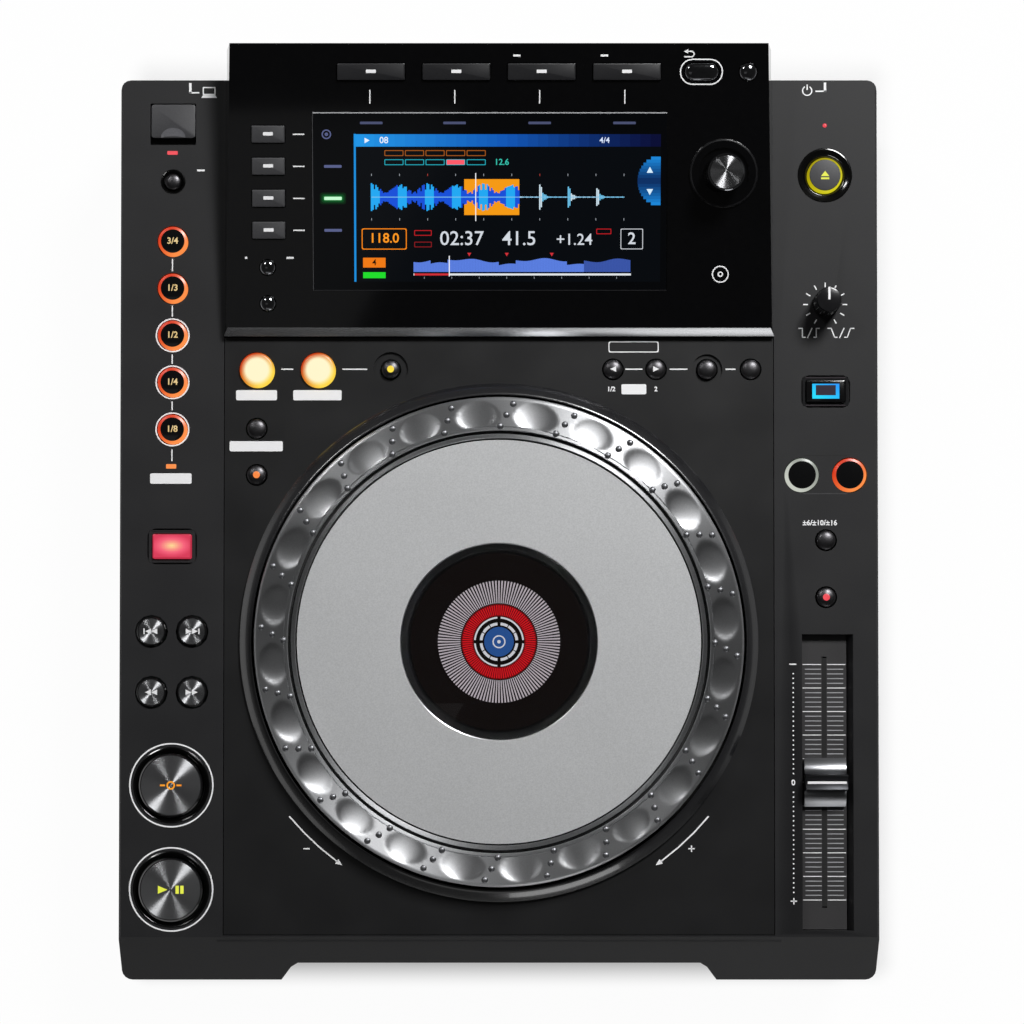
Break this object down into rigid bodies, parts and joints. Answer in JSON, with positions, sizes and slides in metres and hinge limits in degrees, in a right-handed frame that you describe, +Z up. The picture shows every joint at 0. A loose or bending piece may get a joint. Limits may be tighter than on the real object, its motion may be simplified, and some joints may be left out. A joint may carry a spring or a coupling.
{
  "type": "tabletop dj disc player",
  "caption": "Tabletop DJ disc player: flat deck with a dimpled jog wheel, raised screen housing, push buttons on both sides, tempo slider and a front disc slot.",
  "frame": {"origin": "middle of the whole outline, on the plane of the feet", "axes": "+Z up from the table, +Y to the rear where the screen housing and sockets are, +X to the right of the person who plays"},
  "size_m": [0.305, 0.374, 0.1063],
  "materials": {
    "case_plastic": "fine texture, dark charcoal",
    "panel_plastic": "satin near black",
    "housing_gloss": "piano black",
    "screen_glass": "gloss over a lit picture",
    "chassis_paint": "black paint on sheet",
    "hub_plastic": "matt black",
    "ring_finish": "dark silver paint, satin",
    "plate_aluminium": "fine matt silver",
    "window_clear": "smoked clear",
    "drive_metal": "bare sheet",
    "board_laminate": "green resist",
    "fader_plastic": "satin dark grey",
    "slider_finish": "dark chrome-like paint",
    "shaft_steel": "turned",
    "knob_finish": "satin black",
    "key_plastic": "satin dark grey",
    "cap_black": "gloss black",
    "button_metal": "spun metal look",
    "lit_amber": "lit warm white",
    "lit_red": "lit red",
    "lit_yellow": "lit yellow green ring",
    "lit_blue": "lit blue",
    "inlet_plastic": "matt black"
  },
  "bodies": {
    "base": {"bottom_chassis": "chassis_paint", "top_case": "case_plastic", "centre_panel": "panel_plastic", "screen_housing": "housing_gloss", "screen_module": "screen_glass", "jog_hub": "hub_plastic", "disc_drive": "drive_metal", "control_board": "board_laminate", "tempo_fader": "fader_plastic", "rear_panel": "chassis_paint", "mains_inlet": "inlet_plastic"},
    "jog_wheel": {"jog_ring": "ring_finish", "jog_plate": "plate_aluminium", "jog_window": "window_clear"},
    "slider_cap": {"slider_cap": "slider_finish"},
    "selector_shaft": {"selector_shaft": "shaft_steel"},
    "selector_knob": {"selector_knob": "knob_finish"},
    "speed_knob": {"speed_knob": "knob_finish"},
    "usb_door": {"usb_door": "key_plastic"},
    "power_button": {"power_button": "inlet_plastic"},
    "usb_stop_button": {"usb_stop_button": "key_plastic"},
    "direction_button": {"direction_button": "lit_red"},
    "track_back_button": {"track_back_button": "button_metal"},
    "track_forward_button": {"track_forward_button": "button_metal"},
    "search_back_button": {"search_back_button": "button_metal"},
    "search_forward_button": {"search_forward_button": "button_metal"},
    "cue_button": {"cue_button": "button_metal"},
    "play_button": {"play_button": "button_metal"},
    "eject_button": {"eject_button": "lit_yellow"},
    "jog_mode_button": {"jog_mode_button": "lit_blue"},
    "sync_button": {"sync_button": "cap_black"},
    "master_button": {"master_button": "cap_black"},
    "tempo_range_button": {"tempo_range_button": "cap_black"},
    "master_tempo_button": {"master_tempo_button": "cap_black"},
    "beat_button_1": {"beat_button_1": "cap_black"},
    "beat_button_2": {"beat_button_2": "cap_black"},
    "beat_button_3": {"beat_button_3": "cap_black"},
    "beat_button_4": {"beat_button_4": "cap_black"},
    "beat_button_5": {"beat_button_5": "cap_black"},
    "loop_in_button": {"loop_in_button": "lit_amber"},
    "loop_out_button": {"loop_out_button": "lit_amber"},
    "reloop_button": {"reloop_button": "cap_black"},
    "beat_loop_button": {"beat_loop_button": "cap_black"},
    "slip_button": {"slip_button": "cap_black"},
    "call_left_button": {"call_left_button": "cap_black"},
    "call_right_button": {"call_right_button": "cap_black"},
    "delete_button": {"delete_button": "cap_black"},
    "memory_button": {"memory_button": "cap_black"},
    "back_button": {"back_button": "key_plastic"},
    "tag_button": {"tag_button": "cap_black"},
    "time_mode_button": {"time_mode_button": "cap_black"},
    "quantize_button": {"quantize_button": "cap_black"},
    "function_button_1": {"function_button_1": "key_plastic"},
    "function_button_2": {"function_button_2": "key_plastic"},
    "function_button_3": {"function_button_3": "key_plastic"},
    "function_button_4": {"function_button_4": "key_plastic"},
    "source_button_1": {"source_button_1": "key_plastic"},
    "source_button_2": {"source_button_2": "key_plastic"},
    "source_button_3": {"source_button_3": "key_plastic"},
    "source_button_4": {"source_button_4": "key_plastic"}
  },
  "joints": [
    {"name": "jog_spin", "type": "hinge", "parent": "base", "child": "jog_wheel", "pos_m": [0, -0.05058, 0.074], "axis": [0, 0, 1], "continuous": true},
    {"name": "tempo_slide", "type": "slide", "parent": "base", "child": "slider_cap", "axis": [0, 1, 0], "range_m": [-0.04735, 0.04735]},
    {"name": "selector_press", "type": "slide", "parent": "base", "child": "selector_shaft", "axis": [0, 0.1374, -0.9905], "range_m": [0, 0.0006], "stiffness_N_per_m": 600, "springref_m": -0.0005},
    {"name": "selector_turn", "type": "hinge", "parent": "selector_shaft", "child": "selector_knob", "pos_m": [0.08965, 0.13627, 0.08796], "axis": [0, -0.1374, 0.9905], "continuous": true},
    {"name": "speed_turn", "type": "hinge", "parent": "base", "child": "speed_knob", "pos_m": [0.13145, 0.08553, 0.074], "axis": [0, 0, 1], "range_deg": [-150, 150]},
    {"name": "usb_door_open", "type": "hinge", "parent": "base", "child": "usb_door", "pos_m": [-0.13145, 0.16532, 0.0724], "axis": [1, 0, 0], "range_deg": [-90, 0]},
    {"name": "power_press", "type": "slide", "parent": "base", "child": "power_button", "axis": [0, -1, 0], "range_m": [0, 0.0025], "stiffness_N_per_m": 400, "springref_m": -0.0005},
    {"name": "usb_stop_press", "type": "slide", "parent": "base", "child": "usb_stop_button", "axis": [0, 0, -1], "range_m": [0, 0.0006], "stiffness_N_per_m": 400, "springref_m": -0.0005},
    {"name": "direction_press", "type": "slide", "parent": "base", "child": "direction_button", "axis": [0, 0, -1], "range_m": [0, 0.0006], "stiffness_N_per_m": 400, "springref_m": -0.0005},
    {"name": "track_back_press", "type": "slide", "parent": "base", "child": "track_back_button", "axis": [0, 0, -1], "range_m": [0, 0.0006], "stiffness_N_per_m": 400, "springref_m": -0.0005},
    {"name": "track_forward_press", "type": "slide", "parent": "base", "child": "track_forward_button", "axis": [0, 0, -1], "range_m": [0, 0.0006], "stiffness_N_per_m": 400, "springref_m": -0.0005},
    {"name": "search_back_press", "type": "slide", "parent": "base", "child": "search_back_button", "axis": [0, 0, -1], "range_m": [0, 0.0006], "stiffness_N_per_m": 400, "springref_m": -0.0005},
    {"name": "search_forward_press", "type": "slide", "parent": "base", "child": "search_forward_button", "axis": [0, 0, -1], "range_m": [0, 0.0006], "stiffness_N_per_m": 400, "springref_m": -0.0005},
    {"name": "cue_press", "type": "slide", "parent": "base", "child": "cue_button", "axis": [0, 0, -1], "range_m": [0, 0.0012], "stiffness_N_per_m": 600, "springref_m": -0.0005},
    {"name": "play_press", "type": "slide", "parent": "base", "child": "play_button", "axis": [0, 0, -1], "range_m": [0, 0.0012], "stiffness_N_per_m": 600, "springref_m": -0.0005},
    {"name": "eject_press", "type": "slide", "parent": "base", "child": "eject_button", "axis": [0, 0, -1], "range_m": [0, 0.0006], "stiffness_N_per_m": 400, "springref_m": -0.0005},
    {"name": "jog_mode_press", "type": "slide", "parent": "base", "child": "jog_mode_button", "axis": [0, 0, -1], "range_m": [0, 0.0006], "stiffness_N_per_m": 400, "springref_m": -0.0005},
    {"name": "sync_press", "type": "slide", "parent": "base", "child": "sync_button", "axis": [0, 0, -1], "range_m": [0, 0.0006], "stiffness_N_per_m": 400, "springref_m": -0.0005},
    {"name": "master_press", "type": "slide", "parent": "base", "child": "master_button", "axis": [0, 0, -1], "range_m": [0, 0.0006], "stiffness_N_per_m": 400, "springref_m": -0.0005},
    {"name": "tempo_range_press", "type": "slide", "parent": "base", "child": "tempo_range_button", "axis": [0, 0, -1], "range_m": [0, 0.0006], "stiffness_N_per_m": 400, "springref_m": -0.0005},
    {"name": "master_tempo_press", "type": "slide", "parent": "base", "child": "master_tempo_button", "axis": [0, 0, -1], "range_m": [0, 0.0006], "stiffness_N_per_m": 400, "springref_m": -0.0005},
    {"name": "beat_1_press", "type": "slide", "parent": "base", "child": "beat_button_1", "axis": [0, 0, -1], "range_m": [0, 0.0006], "stiffness_N_per_m": 400, "springref_m": -0.0005},
    {"name": "beat_2_press", "type": "slide", "parent": "base", "child": "beat_button_2", "axis": [0, 0, -1], "range_m": [0, 0.0006], "stiffness_N_per_m": 400, "springref_m": -0.0005},
    {"name": "beat_3_press", "type": "slide", "parent": "base", "child": "beat_button_3", "axis": [0, 0, -1], "range_m": [0, 0.0006], "stiffness_N_per_m": 400, "springref_m": -0.0005},
    {"name": "beat_4_press", "type": "slide", "parent": "base", "child": "beat_button_4", "axis": [0, 0, -1], "range_m": [0, 0.0006], "stiffness_N_per_m": 400, "springref_m": -0.0005},
    {"name": "beat_5_press", "type": "slide", "parent": "base", "child": "beat_button_5", "axis": [0, 0, -1], "range_m": [0, 0.0006], "stiffness_N_per_m": 400, "springref_m": -0.0005},
    {"name": "loop_in_press", "type": "slide", "parent": "base", "child": "loop_in_button", "axis": [0, 0, -1], "range_m": [0, 0.0006], "stiffness_N_per_m": 400, "springref_m": -0.0005},
    {"name": "loop_out_press", "type": "slide", "parent": "base", "child": "loop_out_button", "axis": [0, 0, -1], "range_m": [0, 0.0006], "stiffness_N_per_m": 400, "springref_m": -0.0005},
    {"name": "reloop_press", "type": "slide", "parent": "base", "child": "reloop_button", "axis": [0, 0, -1], "range_m": [0, 0.0006], "stiffness_N_per_m": 400, "springref_m": -0.0005},
    {"name": "beat_loop_press", "type": "slide", "parent": "base", "child": "beat_loop_button", "axis": [0, 0, -1], "range_m": [0, 0.0006], "stiffness_N_per_m": 400, "springref_m": -0.0005},
    {"name": "slip_press", "type": "slide", "parent": "base", "child": "slip_button", "axis": [0, 0, -1], "range_m": [0, 0.0006], "stiffness_N_per_m": 400, "springref_m": -0.0005},
    {"name": "call_left_press", "type": "slide", "parent": "base", "child": "call_left_button", "axis": [0, 0, -1], "range_m": [0, 0.0006], "stiffness_N_per_m": 400, "springref_m": -0.0005},
    {"name": "call_right_press", "type": "slide", "parent": "base", "child": "call_right_button", "axis": [0, 0, -1], "range_m": [0, 0.0006], "stiffness_N_per_m": 400, "springref_m": -0.0005},
    {"name": "delete_press", "type": "slide", "parent": "base", "child": "delete_button", "axis": [0, 0, -1], "range_m": [0, 0.0006], "stiffness_N_per_m": 400, "springref_m": -0.0005},
    {"name": "memory_press", "type": "slide", "parent": "base", "child": "memory_button", "axis": [0, 0, -1], "range_m": [0, 0.0006], "stiffness_N_per_m": 400, "springref_m": -0.0005},
    {"name": "back_press", "type": "slide", "parent": "base", "child": "back_button", "axis": [0, 0.1374, -0.9905], "range_m": [0, 0.0006], "stiffness_N_per_m": 400, "springref_m": -0.0005},
    {"name": "tag_press", "type": "slide", "parent": "base", "child": "tag_button", "axis": [0, 0.1374, -0.9905], "range_m": [0, 0.0006], "stiffness_N_per_m": 400, "springref_m": -0.0005},
    {"name": "time_mode_press", "type": "slide", "parent": "base", "child": "time_mode_button", "axis": [0, 0.1374, -0.9905], "range_m": [0, 0.0006], "stiffness_N_per_m": 400, "springref_m": -0.0005},
    {"name": "quantize_press", "type": "slide", "parent": "base", "child": "quantize_button", "axis": [0, 0.1374, -0.9905], "range_m": [0, 0.0006], "stiffness_N_per_m": 400, "springref_m": -0.0005},
    {"name": "function_1_press", "type": "slide", "parent": "base", "child": "function_button_1", "axis": [0, 0.1374, -0.9905], "range_m": [0, 0.0006], "stiffness_N_per_m": 400, "springref_m": -0.0005},
    {"name": "function_2_press", "type": "slide", "parent": "base", "child": "function_button_2", "axis": [0, 0.1374, -0.9905], "range_m": [0, 0.0006], "stiffness_N_per_m": 400, "springref_m": -0.0005},
    {"name": "function_3_press", "type": "slide", "parent": "base", "child": "function_button_3", "axis": [0, 0.1374, -0.9905], "range_m": [0, 0.0006], "stiffness_N_per_m": 400, "springref_m": -0.0005},
    {"name": "function_4_press", "type": "slide", "parent": "base", "child": "function_button_4", "axis": [0, 0.1374, -0.9905], "range_m": [0, 0.0006], "stiffness_N_per_m": 400, "springref_m": -0.0005},
    {"name": "source_1_press", "type": "slide", "parent": "base", "child": "source_button_1", "axis": [0, 0.1374, -0.9905], "range_m": [0, 0.0006], "stiffness_N_per_m": 400, "springref_m": -0.0005},
    {"name": "source_2_press", "type": "slide", "parent": "base", "child": "source_button_2", "axis": [0, 0.1374, -0.9905], "range_m": [0, 0.0006], "stiffness_N_per_m": 400, "springref_m": -0.0005},
    {"name": "source_3_press", "type": "slide", "parent": "base", "child": "source_button_3", "axis": [0, 0.1374, -0.9905], "range_m": [0, 0.0006], "stiffness_N_per_m": 400, "springref_m": -0.0005},
    {"name": "source_4_press", "type": "slide", "parent": "base", "child": "source_button_4", "axis": [0, 0.1374, -0.9905], "range_m": [0, 0.0006], "stiffness_N_per_m": 400, "springref_m": -0.0005}
  ]
}
